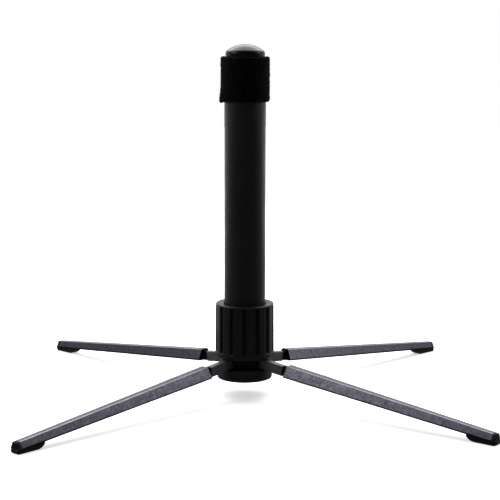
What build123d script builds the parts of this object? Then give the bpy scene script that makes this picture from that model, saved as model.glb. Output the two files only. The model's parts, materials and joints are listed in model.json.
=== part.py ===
from build123d import *
import math
import os

# A folding stand that holds a trumpet by its bell.
# Millimetres. +Z is up, the origin is on the floor under the middle of the peg.

# Peg: the upright tube that goes up inside the bell
TUBE_RADIUS = 15.6
TUBE_WALL = 1.2
TUBE_BOTTOM = 56.6
TUBE_TOP = 256.9

# Fuzzy band round the top of the peg, where the bell sits
BAND_RADIUS = 18.4
BAND_BOTTOM = 224.3
BAND_TOP = 257.3
BAND_FILLET = 1.2

# Domed cap pushed into the top of the tube
CAP_RADIUS = 14.8
CAP_RIM_HEIGHT = 2.6
CAP_TOP = 266.6
CAP_PLUG_DEPTH = 9.0
CAP_PLUG_WALL = 1.6
CAP_PLUG_ROOT = 0.5
CAP_SHOULDER_RADIUS = 3.2
CAP_SHOULDER_ARC = 62

# Flange on the bottom of the tube, which the collar pulls down
FLANGE_RADIUS = 17.4
FLANGE_HEIGHT = 3.6
FLANGE_CHAMFER = 0.4

# Ribbed collar: the captive nut that screws the peg to the hub
COLLAR_BOTTOM = 29.9
COLLAR_TOP = 71.1
COLLAR_TOP_RADIUS = 22.1
COLLAR_FOOT_RADIUS = 22.4
COLLAR_FOOT_TOP = 33.6
COLLAR_BORE_RADIUS = 18.2
COLLAR_LIP_RADIUS = 15.9
COLLAR_LIP_BOTTOM = 60.6
COLLAR_EDGE = 0.7
COLLAR_FOOT_EDGE = 1.1
GROOVE_COUNT = 14
GROOVE_WIDTH = 3.1
GROOVE_DEPTH = 1.5
GROOVE_FILLET = 0.6
GROOVE_BOTTOM = 34.4
GROOVE_TOP = 69.6
GROOVE_TURN = -2.2

# Hub: a slotted core on a round flange, with a cover screwed under it
HUB_RADIUS = 21.0
HUB_FLANGE_BOTTOM = 16.3
HUB_FLANGE_TOP = 21.6
HUB_SEAM = 0.35
HUB_TOP_CHAMFER = 0.7
WAIST_RADIUS = 14.2
WAIST_TOP = 25.0
NECK_RADIUS = 17.0
THREAD_RADIUS = 17.8
THREAD_BOTTOM = 31.0
CORE_TOP = 56.2
CORE_CHAMFER = 1.0
SLOT_INNER = 4.7
SLOT_HALF_WIDTH = 3.1
COVER_BOTTOM = 13.1
COVER_FILLET = 1.3

# Screw that holds the cover to the core
SCREW_RADIUS = 2.0
SCREW_LENGTH = 14.0
SCREW_HEAD_RADIUS = 3.6
SCREW_HEAD_HEIGHT = 1.9
SCREW_HEAD_EDGE = 0.75
SCREW_RECESS_RADIUS = 4.0
SCREW_HEAD_INSET = 0.4
SCREW_DRIVE_WIDTH = 1.0
SCREW_DRIVE_LENGTH = 4.4
SCREW_DRIVE_DEPTH = 1.1

# Legs: how they stand and where they turn
LEG_AZIMUTHS = {"front_right": -41.0, "back_right": 41.0, "back_left": 135.0, "front_left": -135.0}
LEG_SLOPE = 6.56
PIVOT_RADIUS = 8.9
PIVOT_HEIGHT = 26.95
PIN_RADIUS = 1.25
PIN_HALF_LENGTH = 5.1
PIN_CLEARANCE = 0.05
PIN_CHAMFER = 0.25

# Link: a solid bar from the pivot pin out to a shoulder, then a thinner tongue into the channel
LINK_HALF_HEIGHT = 3.85
LINK_HALF_WIDTH = 2.75
LINK_CHAMFER = 0.6
SHOULDER = 29.6
TONGUE_END = 54.5
TONGUE_TOP = 4.4
TONGUE_BOTTOM = -3.4
TONGUE_HALF_WIDTH = 1.7
TONGUE_TAPER_LENGTH = 9.0
TONGUE_TAPER_HEIGHT = 2.6

# Channel: the flared sheet-steel leg. Measured along the leg from the pivot.
CHANNEL_START = 34.0
CHANNEL_END = 210.6
SHEET = 1.0
ROOT_WEB_HALF = 3.1
ROOT_BOTTOM_HALF = 7.2
ROOT_HEIGHT = 8.0
TIP_WEB_HALF = 2.3
TIP_BOTTOM_HALF = 5.1
TIP_HEIGHT = 5.0
BEND_RADIUS = 1.0
WEB_TOP = TONGUE_TOP + SHEET
INSIDE_DROP = 1.0

# Rivets that hold the tongue in the channel, from below
RIVET_RADIUS = 1.2
RIVET_HEAD_RADIUS = 2.0
RIVET_HEAD_HEIGHT = 0.8
RIVET_PLACES = (39.1, 44.7)

# Rubber foot pushed into the open end of the channel
FOOT_OUTER = 221.3
FOOT_FLAT_INNER = 204.8
FOOT_INNER = 198.4
FOOT_HALF_WIDTH = 4.2
FOOT_HEIGHT = 12.0
FOOT_HEEL = 2.8
FOOT_EDGE = 1.3
FOOT_SOLE_EDGE = 0.9
FOOT_FLANGE = 2.3
FOOT_PLUG_START = 178.5
FOOT_PLUG_GAP = 0.12

# How far a cutting shape runs past the faces it cuts
CUT_PAST = 1.0


def ring(outer, inner, bottom, top):
    """A tube wall standing on the Z axis."""
    height = top - bottom
    body = Cylinder(outer, height) - Cylinder(inner, height + 2 * CUT_PAST)
    return Pos(0, 0, (bottom + top) / 2) * body


def rod(radius, bottom, top):
    """A solid round bar standing on the Z axis."""
    return Pos(0, 0, (bottom + top) / 2) * Cylinder(radius, top - bottom)


def turned(points):
    """A solid turned about the Z axis from an outline of (radius, height) points."""
    outline = make_face(Polyline(*[(radius, 0, height) for radius, height in points], close=True))
    return revolve(outline, Axis.Z)


def peg_tube():
    return ring(TUBE_RADIUS, TUBE_RADIUS - TUBE_WALL, TUBE_BOTTOM, TUBE_TOP)


def tube_flange():
    body = ring(FLANGE_RADIUS, TUBE_RADIUS, TUBE_BOTTOM, TUBE_BOTTOM + FLANGE_HEIGHT)
    rim = body.edges().filter_by(GeomType.CIRCLE).sort_by(SortBy.RADIUS)[-2:]
    return chamfer(rim, FLANGE_CHAMFER)


def felt_band():
    body = ring(BAND_RADIUS, TUBE_RADIUS, BAND_BOTTOM, BAND_TOP)
    rims = body.edges().filter_by(GeomType.CIRCLE).sort_by(SortBy.RADIUS)[-2:]
    return fillet(rims, BAND_FILLET)


def top_cap():
    """A low dome on a short rim, over a hollow plug that fits the tube."""
    plug_radius = TUBE_RADIUS - TUBE_WALL
    rim_top = TUBE_TOP + CAP_RIM_HEIGHT
    with BuildPart() as cap:
        with BuildSketch(Plane.XZ):
            with BuildLine():
                Line((0, TUBE_TOP), (CAP_RADIUS, TUBE_TOP))
                Line((CAP_RADIUS, TUBE_TOP), (CAP_RADIUS, rim_top))
                shoulder = JernArc((CAP_RADIUS, rim_top), (0, 1), CAP_SHOULDER_RADIUS, CAP_SHOULDER_ARC)
                crown = Spline(
                    shoulder @ 1, (0, CAP_TOP),
                    tangents=(shoulder % 1, (-1, 0)),
                )
                Line(crown @ 1, (0, TUBE_TOP))
            make_face()
        revolve(axis=Axis.Z)
    plug = ring(plug_radius, plug_radius - CAP_PLUG_WALL,
                TUBE_TOP - CAP_PLUG_DEPTH, TUBE_TOP + CAP_PLUG_ROOT)
    return cap.part + plug


def collar_grooves():
    """The upright finger grooves cut round the collar."""
    height = GROOVE_TOP - GROOVE_BOTTOM
    cutter = Box(2 * GROOVE_DEPTH, GROOVE_WIDTH, height)
    cutter = fillet(cutter.edges().filter_by(Axis.Z), GROOVE_FILLET)
    places = []
    for index in range(GROOVE_COUNT):
        angle = -90 + GROOVE_TURN + index * 360 / GROOVE_COUNT
        middle = (GROOVE_BOTTOM + GROOVE_TOP) / 2
        places.append(Rot(0, 0, angle) * Pos(COLLAR_FOOT_RADIUS, 0, middle) * cutter)
    return places


def ribbed_collar():
    body = turned([
        (COLLAR_BORE_RADIUS, COLLAR_BOTTOM),
        (COLLAR_FOOT_RADIUS - COLLAR_EDGE, COLLAR_BOTTOM),
        (COLLAR_FOOT_RADIUS, COLLAR_BOTTOM + COLLAR_FOOT_EDGE),
        (COLLAR_FOOT_RADIUS, COLLAR_FOOT_TOP),
        (COLLAR_TOP_RADIUS, COLLAR_TOP - COLLAR_EDGE),
        (COLLAR_TOP_RADIUS - COLLAR_EDGE, COLLAR_TOP),
        (COLLAR_LIP_RADIUS, COLLAR_TOP),
        (COLLAR_LIP_RADIUS, COLLAR_LIP_BOTTOM),
        (COLLAR_BORE_RADIUS, COLLAR_LIP_BOTTOM),
    ])
    for groove in collar_grooves():
        body -= groove
    return body


def leg_slots():
    """The radial slots that the links turn in."""
    length = HUB_RADIUS
    height = CORE_TOP - HUB_FLANGE_TOP + CUT_PAST
    cutter = Pos(SLOT_INNER + length / 2, 0, HUB_FLANGE_TOP + height / 2) * Box(
        length, 2 * SLOT_HALF_WIDTH, height)
    return [Rot(0, 0, azimuth) * cutter for azimuth in LEG_AZIMUTHS.values()]


def hub_core():
    """Flange, waist, neck and screwed part in one; a plain cylinder stands in for the thread."""
    body = turned([
        (0, HUB_FLANGE_BOTTOM),
        (HUB_RADIUS - HUB_SEAM, HUB_FLANGE_BOTTOM),
        (HUB_RADIUS, HUB_FLANGE_BOTTOM + HUB_SEAM),
        (HUB_RADIUS, HUB_FLANGE_TOP - HUB_TOP_CHAMFER),
        (HUB_RADIUS - HUB_TOP_CHAMFER, HUB_FLANGE_TOP),
        (WAIST_RADIUS, HUB_FLANGE_TOP),
        (WAIST_RADIUS, WAIST_TOP),
        (NECK_RADIUS, WAIST_TOP),
        (NECK_RADIUS, THREAD_BOTTOM),
        (THREAD_RADIUS, THREAD_BOTTOM),
        (THREAD_RADIUS, CORE_TOP - CORE_CHAMFER),
        (THREAD_RADIUS - CORE_CHAMFER, CORE_TOP),
        (0, CORE_TOP),
    ])
    for slot in leg_slots():
        body -= slot
    for azimuth in LEG_AZIMUTHS.values():
        body -= Rot(0, 0, azimuth) * pin_shape()
    return body - rod(SCREW_RADIUS, HUB_FLANGE_BOTTOM - CUT_PAST, screw_top())


def pin_shape():
    """A pivot pin lying across its slot, before it is turned to its leg."""
    bar = Rot(90, 0, 0) * Cylinder(PIN_RADIUS, 2 * PIN_HALF_LENGTH)
    return Pos(PIVOT_RADIUS, 0, PIVOT_HEIGHT) * bar


def screw_seat():
    """Height of the underside of the screw's head."""
    return COVER_BOTTOM + SCREW_HEAD_INSET + SCREW_HEAD_HEIGHT


def screw_top():
    return screw_seat() + SCREW_LENGTH


def base_cover():
    body = rod(HUB_RADIUS, COVER_BOTTOM, HUB_FLANGE_BOTTOM)
    rims = body.edges().filter_by(GeomType.CIRCLE).sort_by(Axis.Z)
    body = chamfer(rims[-1], HUB_SEAM)
    lower_rim = body.edges().filter_by(GeomType.CIRCLE).sort_by(Axis.Z)[0]
    body = fillet(lower_rim, COVER_FILLET)
    body -= rod(SCREW_RADIUS, COVER_BOTTOM - CUT_PAST, HUB_FLANGE_BOTTOM + CUT_PAST)
    return body - rod(SCREW_RECESS_RADIUS, COVER_BOTTOM - CUT_PAST, screw_seat())


def hub_screw():
    """A pan-head screw, with a cross recess in its head."""
    head_bottom = COVER_BOTTOM + SCREW_HEAD_INSET
    head = rod(SCREW_HEAD_RADIUS, head_bottom, screw_seat())
    rim = head.edges().filter_by(GeomType.CIRCLE).sort_by(Axis.Z)[0]
    head = fillet(rim, SCREW_HEAD_EDGE)
    for turn in (0, 90):
        slot = Box(SCREW_DRIVE_LENGTH, SCREW_DRIVE_WIDTH, 2 * SCREW_DRIVE_DEPTH)
        head -= Pos(0, 0, head_bottom) * Rot(0, 0, turn) * slot
    return head + rod(SCREW_RADIUS, screw_seat(), screw_top())


def leg_place(azimuth):
    """The leg's own frame: X runs outward along the leg from the pivot, Z is square to it."""
    return Rot(0, 0, azimuth) * Pos(PIVOT_RADIUS, 0, PIVOT_HEIGHT) * Rot(0, LEG_SLOPE, 0)


def link_bar():
    """The bar outside the channel, with a round eye at the pivot and softened top edges."""
    with BuildPart() as bar:
        with BuildSketch(Plane.XZ):
            with BuildLine():
                Line((0, LINK_HALF_HEIGHT), (SHOULDER, LINK_HALF_HEIGHT))
                Line((SHOULDER, LINK_HALF_HEIGHT), (SHOULDER, -LINK_HALF_HEIGHT))
                Line((SHOULDER, -LINK_HALF_HEIGHT), (0, -LINK_HALF_HEIGHT))
                ThreePointArc((0, -LINK_HALF_HEIGHT), (-LINK_HALF_HEIGHT, 0), (0, LINK_HALF_HEIGHT))
            make_face()
        extrude(amount=LINK_HALF_WIDTH, both=True)
    top_edges = bar.part.edges().filter_by(Axis.X).group_by(Axis.Z)[-1]
    return chamfer(top_edges, LINK_CHAMFER)


def link_tongue():
    """The thinner end that the channel's web lies on, rounded up from below at its tip."""
    start = SHOULDER - LINK_HALF_HEIGHT
    taper_start = TONGUE_END - TONGUE_TAPER_LENGTH
    tip_bottom = TONGUE_BOTTOM + TONGUE_TAPER_HEIGHT
    with BuildPart() as tongue:
        with BuildSketch(Plane.XZ):
            with BuildLine():
                Polyline((taper_start, TONGUE_BOTTOM), (start, TONGUE_BOTTOM), (start, 0),
                         (SHOULDER, LINK_HALF_HEIGHT), (CHANNEL_START, LINK_HALF_HEIGHT),
                         (CHANNEL_START, TONGUE_TOP), (TONGUE_END, TONGUE_TOP),
                         (TONGUE_END, tip_bottom))
                TangentArc((taper_start, TONGUE_BOTTOM), (TONGUE_END, tip_bottom), tangent=(1, 0))
            make_face()
        extrude(amount=TONGUE_HALF_WIDTH, both=True)
    return tongue.part


def leg_link():
    body = link_bar() + link_tongue()
    body -= Rot(90, 0, 0) * Cylinder(PIN_RADIUS + PIN_CLEARANCE, 2 * (LINK_HALF_WIDTH + CUT_PAST))
    for place in RIVET_PLACES:
        body -= rivet_hole(place)
    return body


def channel_outline(along, web_half, bottom_half, height, inset):
    """One trapezoid section of the channel; inset moves its three sides in by the sheet."""
    lean = math.atan2(bottom_half - web_half, height)
    side_shift = inset / math.cos(lean)
    slope = (bottom_half - web_half) / height
    top_half = web_half + inset * slope - side_shift
    drop = INSIDE_DROP if inset else 0.0
    low_half = bottom_half + drop * slope - side_shift
    top = WEB_TOP - inset
    low = WEB_TOP - height - drop
    corners = [(top_half, top), (low_half, low), (-low_half, low), (-top_half, top)]
    plane = Plane(origin=(along, 0, 0), x_dir=(0, 1, 0), z_dir=(1, 0, 0))
    return plane * make_face(Polyline(*corners, close=True))


def section_at(along):
    """Web half width, bottom half width and height of the channel at one place."""
    share = (along - CHANNEL_START) / (CHANNEL_END - CHANNEL_START)
    web_half = ROOT_WEB_HALF + share * (TIP_WEB_HALF - ROOT_WEB_HALF)
    bottom_half = ROOT_BOTTOM_HALF + share * (TIP_BOTTOM_HALF - ROOT_BOTTOM_HALF)
    height = ROOT_HEIGHT + share * (TIP_HEIGHT - ROOT_HEIGHT)
    return web_half, bottom_half, height


def channel_envelope(start, end, inset):
    """The tapering solid between two places along the leg."""
    first = channel_outline(start, *section_at(start), inset)
    last = channel_outline(end, *section_at(end), inset)
    return loft([first, last], ruled=True)


def leg_channel():
    outside = channel_envelope(CHANNEL_START, CHANNEL_END, 0)
    long_edges = outside.edges().sort_by(SortBy.LENGTH)[-4:]
    outside = fillet(long_edges.sort_by(Axis.Z)[-2:], BEND_RADIUS)
    body = outside - channel_envelope(CHANNEL_START - CUT_PAST, CHANNEL_END + CUT_PAST, SHEET)
    for place in RIVET_PLACES:
        body -= rivet_hole(place)
    return body


def rivet_hole(place):
    return Pos(place, 0, 0) * Cylinder(RIVET_RADIUS, 2 * (WEB_TOP + CUT_PAST))


def leg_rivets():
    """Both rivets of one leg, heads under the tongue and shanks flush with the web."""
    bodies = []
    for place in RIVET_PLACES:
        shank_height = WEB_TOP - TONGUE_BOTTOM
        shank_middle = (WEB_TOP + TONGUE_BOTTOM) / 2
        shank = Pos(place, 0, shank_middle) * Cylinder(RIVET_RADIUS, shank_height)
        head = Pos(place, 0, TONGUE_BOTTOM - RIVET_HEAD_HEIGHT / 2) * Cylinder(
            RIVET_HEAD_RADIUS, RIVET_HEAD_HEIGHT)
        bodies.append(shank + head)
    return bodies


def foot_outline():
    """The foot seen from the side, in the leg's upright plane, before it is cut to fit."""
    with BuildSketch(Plane.XZ) as side:
        with BuildLine():
            Line((FOOT_FLAT_INNER, 0), (FOOT_OUTER - FOOT_EDGE, 0))
            corner = JernArc((FOOT_OUTER - FOOT_EDGE, 0), (1, 0), FOOT_EDGE, 90)
            rise = Line(corner @ 1, (FOOT_OUTER, FOOT_HEIGHT))
            back = Line(rise @ 1, (FOOT_INNER, FOOT_HEIGHT))
            Line(back @ 1, (FOOT_INNER, FOOT_HEEL))
            TangentArc((FOOT_FLAT_INNER, 0), (FOOT_INNER, FOOT_HEEL), tangent=(-1, 0))
        make_face()
    return side.sketch


def lower_edge(along):
    """Height of the channel's lower edges at one place, in the leg's frame."""
    return WEB_TOP - section_at(along)[2]


def under_channel():
    """Everything below the plane of the channel's lower edges, as a block in the leg's frame."""
    far_end = CHANNEL_END + FOOT_HEIGHT
    outline = Polyline(
        (CHANNEL_START, 0, lower_edge(CHANNEL_START)),
        (far_end, 0, lower_edge(far_end)),
        (far_end, 0, -PIVOT_HEIGHT),
        (CHANNEL_START, 0, -PIVOT_HEIGHT),
        close=True,
    )
    return extrude(make_face(outline), 2 * FOOT_HALF_WIDTH, both=True)


def rubber_foot():
    """A pad under the tip, a plug inside the channel and a flange over its cut end."""
    level = leg_place(0)
    pad = extrude(foot_outline(), FOOT_HALF_WIDTH, both=True)
    sole = pad.faces().sort_by(Axis.Z)[0]
    pad = fillet(sole.edges().filter_by(Axis.X), FOOT_SOLE_EDGE)
    flange_middle = CHANNEL_END + FOOT_FLANGE / 2
    inside = channel_envelope(FOOT_PLUG_START, flange_middle, SHEET + FOOT_PLUG_GAP)
    pad &= level * (under_channel() + inside)
    return pad + level * channel_envelope(CHANNEL_END, CHANNEL_END + FOOT_FLANGE, 0)


def pivot_pin():
    body = pin_shape()
    return chamfer(body.edges().filter_by(GeomType.CIRCLE), PIN_CHAMFER)


def write_node(name, shape):
    """Each node becomes one file, named after it."""
    export_step(shape, "parts/" + name + ".step")


def write_peg():
    write_node("peg_tube", peg_tube())
    write_node("tube_flange", tube_flange())
    write_node("felt_band", felt_band())
    write_node("top_cap", top_cap())
    write_node("ribbed_collar", ribbed_collar())


def write_hub():
    write_node("hub_core", hub_core())
    write_node("base_cover", base_cover())
    write_node("hub_screw", hub_screw())


def write_leg(name, azimuth):
    place = leg_place(azimuth)
    write_node(name + "_link", place * leg_link())
    write_node(name + "_channel", place * leg_channel())
    write_node(name + "_rivets", Compound([place * rivet for rivet in leg_rivets()]))
    write_node(name + "_foot", Rot(0, 0, azimuth) * rubber_foot())
    write_node(name + "_pin", Rot(0, 0, azimuth) * pivot_pin())


os.makedirs("parts", exist_ok=True)
write_peg()
write_hub()
for leg_name, leg_azimuth in LEG_AZIMUTHS.items():
    write_leg(leg_name, leg_azimuth)
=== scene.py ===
import json
import math
import random

import bmesh
import bpy
from mathutils import Matrix, Vector, noise


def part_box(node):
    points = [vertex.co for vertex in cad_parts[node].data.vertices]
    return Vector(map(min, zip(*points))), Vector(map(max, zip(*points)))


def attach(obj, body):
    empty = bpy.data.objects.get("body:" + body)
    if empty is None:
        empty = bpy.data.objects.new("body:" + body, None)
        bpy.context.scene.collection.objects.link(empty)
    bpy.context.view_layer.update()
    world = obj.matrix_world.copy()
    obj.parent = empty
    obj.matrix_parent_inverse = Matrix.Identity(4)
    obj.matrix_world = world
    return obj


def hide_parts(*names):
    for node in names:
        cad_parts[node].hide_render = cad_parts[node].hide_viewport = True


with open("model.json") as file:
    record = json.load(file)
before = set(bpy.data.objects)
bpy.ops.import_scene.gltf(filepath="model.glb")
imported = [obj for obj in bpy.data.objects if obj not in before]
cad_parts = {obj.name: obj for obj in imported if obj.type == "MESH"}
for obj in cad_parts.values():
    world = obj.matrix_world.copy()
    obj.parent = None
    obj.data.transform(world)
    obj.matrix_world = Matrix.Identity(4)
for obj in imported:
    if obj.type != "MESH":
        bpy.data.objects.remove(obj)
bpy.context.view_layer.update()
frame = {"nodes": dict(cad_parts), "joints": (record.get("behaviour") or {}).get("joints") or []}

NODES = frame["nodes"]
JOINTS = {joint["name"]: joint for joint in frame["joints"]}
LEG_NAMES = [name[:-len("_fold")] for name in JOINTS if name.endswith("_fold")]

MM = 0.001

# The sheet-steel leg, as the CAD part has it, measured along the leg from its pivot.
# Each pair is a size at the channel's start and at its end.
LEG_SLOPE = math.radians(6.56)
LINK_HALF_HEIGHT = 3.85 * MM
LINK_HALF_WIDTH = 2.75 * MM
LINK_EDGE = 0.6 * MM
SHOULDER = 29.6 * MM
TONGUE_END = 54.5 * MM
TONGUE_TOP = 4.4 * MM
TONGUE_BOTTOM = -3.4 * MM
TONGUE_HALF_WIDTH = 1.7 * MM
TONGUE_TAPER_LENGTH = 9.0 * MM
TONGUE_TAPER_HEIGHT = 2.6 * MM
TONGUE_EDGE = 0.3 * MM
CHANNEL_START = 34.0 * MM
CHANNEL_END = 210.6 * MM
SHEET = 1.0 * MM
WEB_TOP = TONGUE_TOP + SHEET
WEB_HALF = (3.1 * MM, 2.3 * MM)
BOTTOM_HALF = (7.2 * MM, 5.1 * MM)
CHANNEL_HEIGHT = (8.0 * MM, 5.0 * MM)
BEND_RADIUS = 1.0 * MM
RIM_WIDTH = 1.1 * MM
RIVET_PLACES = (39.1 * MM, 44.7 * MM)
RIVET_HEAD_RADIUS = 2.0 * MM
RIVET_HEAD_HEIGHT = 0.8 * MM
RIVET_SHANK_RADIUS = 1.2 * MM

# The peg: the tube's wall, and the cap's hollow plug, rim and shoulder
TUBE_WALL = 1.2 * MM
CAP_PLUG_OUTER = 14.4 * MM
CAP_PLUG_INNER = 12.8 * MM
CAP_EDGE = 0.3 * MM
CAP_RIM_HEIGHT = 2.6 * MM
CAP_SHOULDER_RADIUS = 3.2 * MM
CAP_SHOULDER_ARC = math.radians(62)
CAP_CROWN_POWER = 2.1

# The fuzzy band: how finely it is meshed, its lumps, and the end that has lifted off the tube
BAND_TURNS = 220
BAND_ROWS = 60
FIBRE_COUNT = 9000
BAND_GAP = 0.02 * MM
BAND_INSET = 0.25 * MM
BAND_LUMP = 0.26 * MM
BAND_TUCK = 0.9 * MM
BAND_TUCK_SHARE = 0.05
BAND_RAGGED = 0.9 * MM
LIFTED_ANGLE = math.radians(190)
LIFTED_OUT = 1.5 * MM
LIFTED_DOWN = 1.2 * MM
LIFTED_SHARE = 0.34

# The ribbed collar: its finger grooves, and the bore and lip inside it
GROOVE_COUNT = 14
GROOVE_WIDTH = 3.1 * MM
GROOVE_DEPTH = 1.5 * MM
GROOVE_TURN = math.radians(-2.2)
GROOVE_BOTTOM = 34.4 * MM
GROOVE_TOP = 69.6 * MM
COLLAR_TAPER = 0.3 * MM
COLLAR_LIP_RADIUS = 15.9 * MM
COLLAR_LIP_BOTTOM = 60.6 * MM
COLLAR_BORE_RADIUS = 18.2 * MM

# The hub: a disc of two layers with a slotted, screwed core on it
HUB_SEAM_HEIGHT = 16.3 * MM
HUB_SPLIT_HEIGHT = 17.9 * MM
HUB_DISC_TOP = 21.6 * MM
WAIST_RADIUS = 14.2 * MM
WAIST_TOP = 25.0 * MM
NECK_RADIUS = 17.0 * MM
THREAD_RADIUS = 17.8 * MM
THREAD_BOTTOM = 31.0 * MM
THREAD_PITCH = 2.5 * MM
THREAD_DEPTH = 0.8 * MM
COLLAR_THREAD_TURNS = 9
COLLAR_THREAD_DEPTH = 0.5 * MM
SLOT_INNER = 4.7 * MM
SLOT_HALF_WIDTH = 3.1 * MM

# The cover under the hub, with the recess for its screw
COVER_HOLE_RADIUS = 2.05 * MM
COVER_RECESS_RADIUS = 4.0 * MM
COVER_RECESS_DEPTH = 2.3 * MM
COVER_DISH_RADIUS = 15.0 * MM
COVER_DISH_DEPTH = 0.45 * MM
COVER_RING_RADIUS = 16.2 * MM

ROUND_STEPS = 128

# Colours
COLLAR_COLOUR = (0.016, 0.016, 0.0205)
HUB_COLOUR = (0.019, 0.019, 0.021)
NYLON_COLOUR = (0.010, 0.010, 0.011)
# Painted shade: the near-black put on the collar's groove bottoms and on the hub's waist and neck
RECESS_SHADE_COLOUR = (0.001, 0.001, 0.0012)
BAND_COLOUR = (0.0016, 0.0016, 0.0018)
PILE_COLOUR = (0.0030, 0.0030, 0.0033)
PIN_COLOUR = (0.42, 0.42, 0.43)
SCREW_COLOUR = (0.5, 0.5, 0.5)
CUT_EDGE_COLOUR = (0.012, 0.011, 0.014)
# Painted highlight: the light colour laid along the channels' outer bends
BEND_HIGHLIGHT_COLOUR = (0.34, 0.33, 0.35)
WORN_SPECK_COLOUR = (0.62, 0.61, 0.63)

# The floor that the camera sees glows by FLOOR_GLOW near the stand, rising to 1 over the reach
FLOOR_GLOW = 0.5
FLOOR_GLOW_REACH = (0.15, 0.6)
# The light that floor and world give the stand rises to the back: near, far, dim, bright
FLOOR_FADE = (-0.25, 1.2, 0.14, 2.2)
WORLD_FADE = (-0.5, 0.9, 0.17, 1.1)
# Soft lights: name, place, width, height and watts
LIGHT_TARGET = (0, 0, 0.05)
LIGHTS = (
    ("back_top", (0.0, 0.52, 0.92), 1.5, 0.9, 12.5),
    ("left", (-0.95, -0.22, 0.72), 0.6, 0.6, 3.2),
    ("right", (1.05, -0.02, 0.66), 0.6, 0.6, 2.5),
)

# The camera stands low in front and looks slightly down, turned a little from the stand's axes
CAMERA_DISTANCE = 1.0935
CAMERA_PITCH = math.radians(8.39)
CAMERA_ROLL = math.radians(0.19)
CAMERA_TURN = math.radians(-2.2)
CAMERA_TARGET = Vector((0.0092, 0, 0.1193))
CAMERA_LENS = 103.8
CAMERA_SHIFT = (-0.014, -0.020)


# ---------------------------------------------------------------- mesh helpers

def rounded(corners, radii, steps=5):
    """A closed outline through 2-D corners, each corner rounded to its own radius."""
    outline = []
    count = len(corners)
    for index, corner in enumerate(corners):
        here = Vector(corner)
        before = Vector(corners[index - 1]) - here
        after = Vector(corners[(index + 1) % count]) - here
        radius = radii[index]
        if radius <= 0:
            outline.append(tuple(here))
            continue
        half = before.angle(after) / 2
        reach = radius / math.tan(half)
        start = here + before.normalized() * reach
        end = here + after.normalized() * reach
        for step in range(steps + 1):
            share = step / steps
            inner = start.lerp(here, share)
            outer = here.lerp(end, share)
            outline.append(tuple(inner.lerp(outer, share)))
    return outline


def on_circle(radius, angle, height):
    """A point at a height, at a radius and an angle about the Z axis."""
    return (radius * math.cos(angle), radius * math.sin(angle), height)


def lathe(outline, steps=ROUND_STEPS):
    """Vertices and faces of a closed (radius, height) outline turned about the Z axis."""
    verts = []
    faces = []
    for step in range(steps):
        angle = 2 * math.pi * step / steps
        verts += [on_circle(radius, angle, height) for radius, height in outline]
    count = len(outline)
    for step in range(steps):
        following = (step + 1) % steps
        for index in range(count):
            after = (index + 1) % count
            faces.append((
                step * count + index, following * count + index,
                following * count + after, step * count + after,
            ))
    return verts, faces


def tube_of_rings(rings, closed_ends=True):
    """Vertices and faces of a skin over equal rings of points, with flat ends."""
    verts = [point for ring in rings for point in ring]
    count = len(rings[0])
    faces = []
    for row in range(len(rings) - 1):
        for index in range(count):
            after = (index + 1) % count
            faces.append((
                row * count + index, row * count + after,
                (row + 1) * count + after, (row + 1) * count + index,
            ))
    if closed_ends:
        last = (len(rings) - 1) * count
        faces.append(tuple(range(count))[::-1])
        faces.append(tuple(last + index for index in range(count)))
    return verts, faces


def make_mesh(name, verts, faces, place=None):
    """A clean mesh object: doubles welded, normals outward, placed in the frame."""
    data = bpy.data.meshes.new(name)
    data.from_pydata([tuple(v) for v in verts], [], faces)
    work = bmesh.new()
    work.from_mesh(data)
    bmesh.ops.remove_doubles(work, verts=work.verts, dist=1e-6)
    bmesh.ops.dissolve_degenerate(work, edges=work.edges, dist=1e-7)
    bmesh.ops.recalc_face_normals(work, faces=work.faces)
    work.to_mesh(data)
    work.free()
    if place is not None:
        data.transform(place)
    piece = bpy.data.objects.new(name, data)
    bpy.context.scene.collection.objects.link(piece)
    return piece


def shade(piece, degrees=35):
    """Smooth shading with edges sharper than the angle kept crisp."""
    for polygon in piece.data.polygons:
        polygon.use_smooth = True
    piece.data.set_sharp_from_angle(angle=math.radians(degrees))


def finish_piece(piece, body, material, replaced=()):
    """Gives a new piece its material and its body, and hides the CAD nodes it stands for."""
    piece.data.materials.clear()
    piece.data.materials.append(material)
    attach(piece, body)
    if replaced:
        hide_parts(*replaced)


# ---------------------------------------------------------------- materials

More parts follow.
